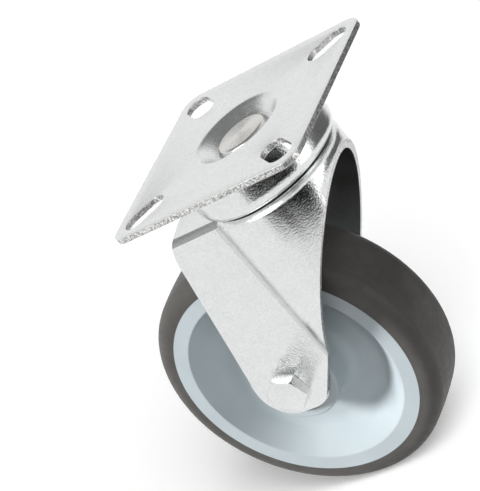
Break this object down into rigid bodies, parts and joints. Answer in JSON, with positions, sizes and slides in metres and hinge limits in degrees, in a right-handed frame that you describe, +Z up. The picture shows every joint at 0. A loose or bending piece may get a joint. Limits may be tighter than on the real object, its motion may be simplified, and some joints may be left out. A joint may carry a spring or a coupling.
{
  "type": "castor wheel",
  "caption": "Swivel castor: square plate with slots, ball-raced swivel head, pressed steel fork and a rubber-tyred wheel on a through bolt.",
  "frame": {"origin": "where the swivel axis meets the top face of the plate", "axes": "+Z up out of the plate's top face, Y along the axle, the wheel trails toward -X"},
  "size_m": [0.1595, 0.095, 0.1693],
  "materials": {
    "zinc": "bright zinc plated sheet, fine grain",
    "pin_steel": "turned steel, faintly warm grey",
    "bolt_zinc": "bright zinc plated bolt and nut",
    "race_steel": "ground steel",
    "ball_steel": "polished steel balls",
    "nylon_blue": "nylon locking ring",
    "wheel_plastic": "blue-grey polypropylene, satin",
    "rubber_grey": "dark grey elastic rubber, matte",
    "cage_plastic": "polyamide ball cage"
  },
  "bodies": {
    "mount": {"top_plate": "zinc", "race_cup": "zinc", "pin": "pin_steel", "lower_race": "race_steel"},
    "fork": {"fork": "zinc", "axle_bolt": "bolt_zinc", "axle_nut": "bolt_zinc", "nut_insert": "nylon_blue", "axle_tube": "race_steel", "spacer_l": "race_steel", "spacer_r": "race_steel", "bearing_l_inner": "race_steel", "bearing_r_inner": "race_steel"},
    "wheel": {"wheel_centre": "wheel_plastic", "tyre": "rubber_grey", "bearing_l_outer": "race_steel", "bearing_r_outer": "race_steel"},
    "upper_row": {"upper_balls": "ball_steel"},
    "lower_row": {"lower_balls": "ball_steel"},
    "cage_l": {"bearing_l_balls": "ball_steel", "bearing_l_cage": "cage_plastic"},
    "cage_r": {"bearing_r_balls": "ball_steel", "bearing_r_cage": "cage_plastic"}
  },
  "joints": [
    {"name": "swivel", "type": "hinge", "parent": "mount", "child": "fork", "pos_m": [0, 0, 0], "axis": [0, 0, 1], "continuous": true},
    {"name": "wheel_spin", "type": "hinge", "parent": "fork", "child": "wheel", "pos_m": [-0.0495, 0, -0.1068], "axis": [0, 1, 0], "continuous": true},
    {"name": "upper_roll", "type": "hinge", "parent": "mount", "child": "upper_row", "pos_m": [0, 0, -0.007], "axis": [0, 0, 1], "continuous": true},
    {"name": "lower_roll", "type": "hinge", "parent": "mount", "child": "lower_row", "pos_m": [0, 0, -0.015], "axis": [0, 0, 1], "continuous": true},
    {"name": "cage_l_roll", "type": "hinge", "parent": "fork", "child": "cage_l", "pos_m": [-0.0495, -0.015, -0.1068], "axis": [0, 1, 0], "continuous": true},
    {"name": "cage_r_roll", "type": "hinge", "parent": "fork", "child": "cage_r", "pos_m": [-0.0495, 0.015, -0.1068], "axis": [0, 1, 0], "continuous": true}
  ],
  "couplings": [
    {"joint": "upper_roll", "follows": "swivel", "ratio": 0.5},
    {"joint": "lower_roll", "follows": "swivel", "ratio": 0.5},
    {"joint": "cage_l_roll", "follows": "wheel_spin", "ratio": 0.6013},
    {"joint": "cage_r_roll", "follows": "wheel_spin", "ratio": 0.6013}
  ]
}
